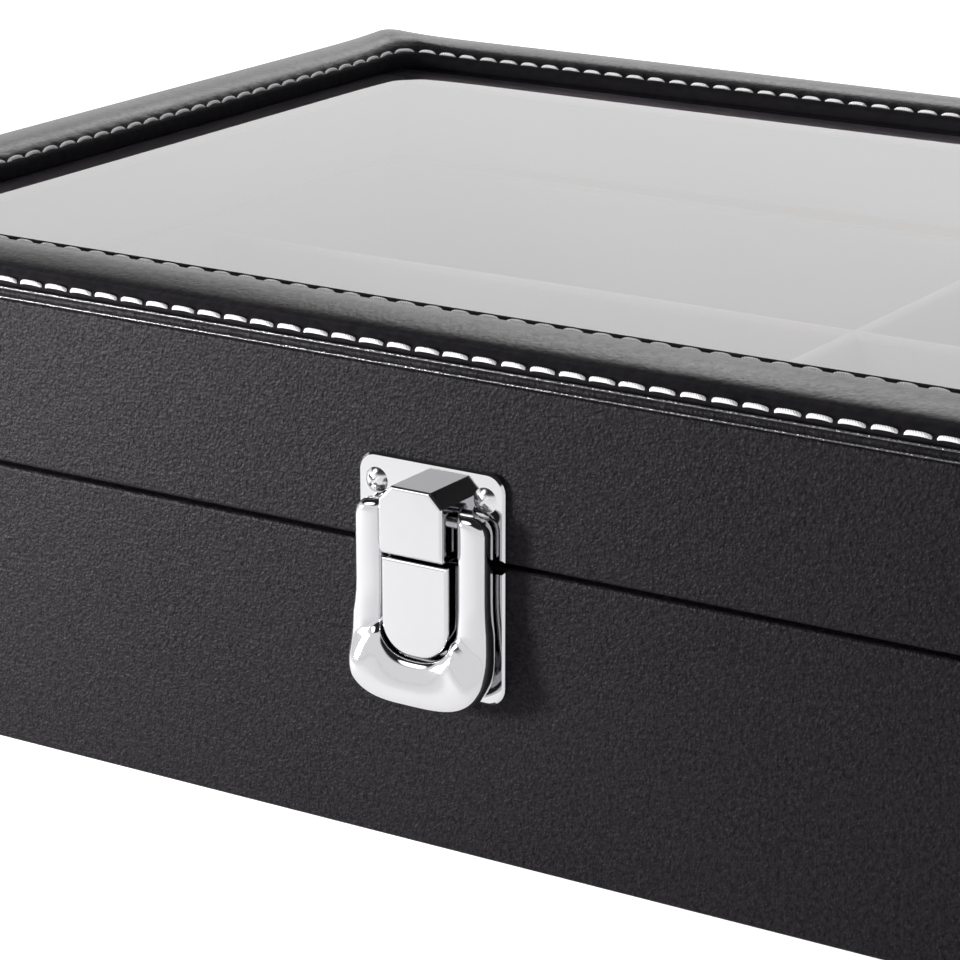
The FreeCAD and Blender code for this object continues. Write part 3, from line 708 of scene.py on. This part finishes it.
def make_plush():
    """Every velvet piece and the felt. The side boards stop short of the front and back ones."""
    for part_of, body, trim, radius in (("base_lining", "base", 3.5 * MM, LINING_EDGE_R),
                                        ("lid_lining", "lid", 4.0 * MM, LINING_EDGE_R),
                                        ("glass_retainer", "lid", 15.0 * MM, THIN_EDGE_R)):
        for side in ("front", "back", "left", "right"):
            node = part_of + "_" + side
            along = 1 if side in ("left", "right") else 0
            low, high = between_ends(node, along, trim if along else 0.0)
            plush_block("velvet_" + node, [node], low, high, radius, body=body, fill=0.7)
    for node in ("long_divider_front", "long_divider_back"):
        plush_block("velvet_" + node, [node], *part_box(node), DIVIDER_EDGE_R, fill=0.7)
    low, high = (Vector(corner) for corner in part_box("cross_divider"))
    high.z -= CROSS_DIVIDER_DROP
    plush_block("velvet_cross_divider", ["cross_divider"], low, high, DIVIDER_EDGE_R, fill=0.7)
    plush_block("velvet_floor_pad", ["floor_pad"], *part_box("floor_pad"), THIN_EDGE_R, fill=0.5)
    plush_block("pressed_felt", ["underside_felt"], *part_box("underside_felt"), FELT_EDGE_R, "felt", fill=0.9)


# ------------------------------------------------------------------ the cast latch flap
def smooth_step(value, low, high):
    share = max(0.0, min(1.0, (value - low) / (high - low)))
    return share * share * (3 - 2 * share)


def squarer(value, square):
    """A sine or cosine, pushed outward so that the curve it draws is squarer than a circle."""
    return math.copysign(abs(value) ** (2 / square), value)


def flap_spine():
    """Inner and outer outline points and front and back depths, from the left arm's top to the right's."""
    turn_z = TONGUE_LOW_Z + WINDOW_OVER_TAIL + WINDOW_TURN_H
    top = FLAP_HIGH.z
    widening = FLAP_HIGH.x - ARM_HALF_W
    drop = turn_z - FLAP_LOW.z
    arm = []
    for i in range(FLAP_RISE + 1):
        share = i / FLAP_RISE
        z = turn_z + (top - turn_z) * math.sin(share * math.pi / 2) ** 0.9
        flare = max(0.0, 1 - (z - turn_z) / FLARE_H) ** 2
        outer = ARM_HALF_W + widening * FLARE_SHARE * flare
        over = max(0.0, z - (top - SHOULDER_R))
        outer -= SHOULDER_R - math.sqrt(max(SHOULDER_R ** 2 - over ** 2, 0))
        lift = max(0.0, z - (top - ARM_TOP_R))
        bow = math.sqrt(max(ARM_TOP_R ** 2 - lift ** 2, 0)) / ARM_TOP_R
        middle = (ARM_CROWN + ARM_BACK) / 2
        half = (ARM_CROWN - ARM_BACK) / 2 * max(bow, 0.05)
        crown = [middle + half + FLARE_LIFT * flare] * 2
        arm.append(((WINDOW_HALF_W, z), (max(outer, WINDOW_HALF_W + ARM_MIN_W), z), crown, middle - half))
    left = [((-a[0], a[1]), (-b[0], b[1]), crown, back) for a, b, crown, back in reversed(arm)]
    below = []
    for i in range(1, FLAP_TURN):
        angle = math.pi * i / FLAP_TURN
        c, s = -math.cos(angle), math.sin(angle)
        inner = (squarer(c, WINDOW_SQUARE) * WINDOW_HALF_W,
                 turn_z - squarer(s, WINDOW_SQUARE) * WINDOW_TURN_H)
        wide = ARM_HALF_W + widening * min(1.0, FLARE_SHARE + SPREAD_RATE * s)
        outer = (squarer(c, OUTLINE_SQUARE) * wide, turn_z - squarer(s, OUTLINE_SQUARE) * drop)
        low_crown = ARM_CROWN + FLARE_LIFT
        crown = [low_crown + (high_crown - low_crown) * smooth_step(s, 0.02, full)
                 for high_crown, full in ((SWELL_INNER, SWELL_INNER_FULL), (SWELL_CROWN, SWELL_CROWN_FULL))]
        back = ARM_BACK + (SWELL_BACK - ARM_BACK) * min(1.0, s * SPREAD_RATE)
        below.append((inner, outer, crown, back))
    return left + below + arm


def make_flap():
    """The flap as cast: round-fronted arms that spread into a full thumb swell."""
    points, faces = [], []
    spine = flap_spine()
    for (ix, iz), (ox, oz), (crown_in, crown_out), back in spine:
        rim = WINDOW_RIM * smooth_step(crown_in, ARM_CROWN + 0.4 * MM, SWELL_INNER)
        for k in range(FLAP_RING):
            angle = 2 * math.pi * k / FLAP_RING
            c, s = math.cos(angle), math.sin(angle)
            across = 0.5 - 0.5 * squarer(c, ACROSS_SQUARE)
            crown = crown_in + (crown_out - crown_in) * across
            edge = back + (crown - back) * (WIDEST_AT + rim * (1 - across))
            reach, square = (crown - edge, FRONT_SQUARE) if s > 0 else (edge - back, BACK_SQUARE)
            proud = edge + squarer(s, square) * reach
            x = ix + (ox - ix) * across
            z = iz + (oz - iz) * across
            points.append((x, FRONT_Y - proud, z))
    for r in range(len(spine) - 1):
        for k in range(FLAP_RING):
            a = r * FLAP_RING + k
            b = r * FLAP_RING + (k + 1) % FLAP_RING
            faces.append((a, b, b + FLAP_RING, a + FLAP_RING))
    faces.append(tuple(reversed(range(FLAP_RING))))
    last = (len(spine) - 1) * FLAP_RING
    faces.append(tuple(last + k for k in range(FLAP_RING)))
    flap = make_piece("cast_latch_flap", points, faces, "chrome", "latch_flap")
    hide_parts("latch_flap")


# ------------------------------------------------------------------ stage, light and camera
def make_floor():
    """A white floor that glows a little, so that it stays white to the horizon."""
    material, tree = new_tree("pale_floor")
    diffuse = add(tree, "ShaderNodeBsdfDiffuse", None, Color=(FLOOR_WHITE, FLOOR_WHITE, FLOOR_WHITE, 1))
    glow = add(tree, "ShaderNodeEmission", None, Color=(1, 1, 1, 1), Strength=FLOOR_GLOW)
    both = add(tree, "ShaderNodeAddShader", None, i0=diffuse.outputs[0], i1=glow.outputs[0])
    add(tree, "ShaderNodeOutputMaterial", None, Surface=both.outputs[0])
    mesh = bpy.data.meshes.new("floor")
    z = cad_box[0][2] - FLOOR_GAP
    corners = [(sx * FLOOR_HALF, sy * FLOOR_HALF, z) for sx, sy in ((-1, -1), (1, -1), (1, 1), (-1, 1))]
    mesh.from_pydata(corners, [], [(0, 1, 2, 3)])
    floor = bpy.data.objects.new("floor", mesh)
    mesh.materials.append(material)
    bpy.context.scene.collection.objects.link(floor)


def make_world():
    """A white horizon with a dark ceiling and two soft bright patches."""
    world = bpy.data.worlds.new("studio")
    bpy.context.scene.world = world
    world.use_nodes = True
    tree = world.node_tree
    tree.nodes.clear()
    direction = add(tree, "ShaderNodeTexCoord").outputs["Generated"]
    up = add(tree, "ShaderNodeSeparateXYZ", None, Vector=direction).outputs["Z"]
    total = spread(tree, up, HORIZON_STRENGTH, CEILING_STRENGTH, math.sin(math.radians(HORIZON_TO)),
                   math.sin(math.radians(CEILING_FROM)), "SMOOTHSTEP")
    for place, power, inner, outer in SKY_PATCHES:
        towards = add(tree, "ShaderNodeVectorMath", {"operation": "DOT_PRODUCT"}, i0=direction,
                      i1=Vector(place).normalized()).outputs["Value"]
        lobe = spread(tree, towards, 0.0, power, math.cos(math.radians(outer)), math.cos(math.radians(inner)))
        total = add_maths(tree, "ADD", total, lobe)
    sky = add(tree, "ShaderNodeBackground", None, Color=(1, 1, 1, 1), Strength=total)
    add(tree, "ShaderNodeOutputWorld", None, Surface=sky.outputs[0])


def soft_light(name, place, aim, size, power, in_reflections, beam=180):
    """A rectangular lamp that the camera doesn't see. Its beam is in degrees."""
    data = bpy.data.lights.new(name, "AREA")
    data.shape = "RECTANGLE"
    data.size, data.size_y = size
    data.energy = power
    data.spread = math.radians(beam)
    light = bpy.data.objects.new(name, data)
    light.location = place
    light.rotation_euler = (Vector(aim) - Vector(place)).to_track_quat("-Z", "Y").to_euler()
    light.visible_camera = False
    light.visible_glossy = in_reflections
    bpy.context.scene.collection.objects.link(light)


def make_camera():
    """Beyond the front right corner, a little above the lid, with a long lens."""
    data = bpy.data.cameras.new("camera")
    data.sensor_width = SENSOR
    data.lens = LENS
    data.clip_start = 0.01
    camera = bpy.data.objects.new("camera", data)
    camera.location = (CAMERA_X, FRONT_Y - CAMERA_OUT, CAMERA_Z)
    camera.rotation_euler = (math.radians(90 - CAMERA_DOWN), 0, math.radians(CAMERA_TURN))
    bpy.context.scene.collection.objects.link(camera)
    bpy.context.scene.camera = camera


paint_nodes()
make_roll()
make_top_frame()
make_stitches("stitches_outer", "outer")
make_stitches("stitches_inner", "inner")
make_plush()
make_flap()
make_floor()
make_world()
soft_light("overhead", place=(-0.45, 0.10, 1.30), aim=(0, 0, 0), size=(1.5, 1.5), power=8.0,
           in_reflections=False)
soft_light("low_left", place=(-0.42, -0.42, 0.10), aim=(-0.10, FRONT_Y, 0.06), size=(0.12, 0.12), power=0.60,
           in_reflections=True, beam=50)
make_camera()
bpy.context.scene.view_settings.view_transform = "Standard"
bpy.context.scene.view_settings.look = "None"
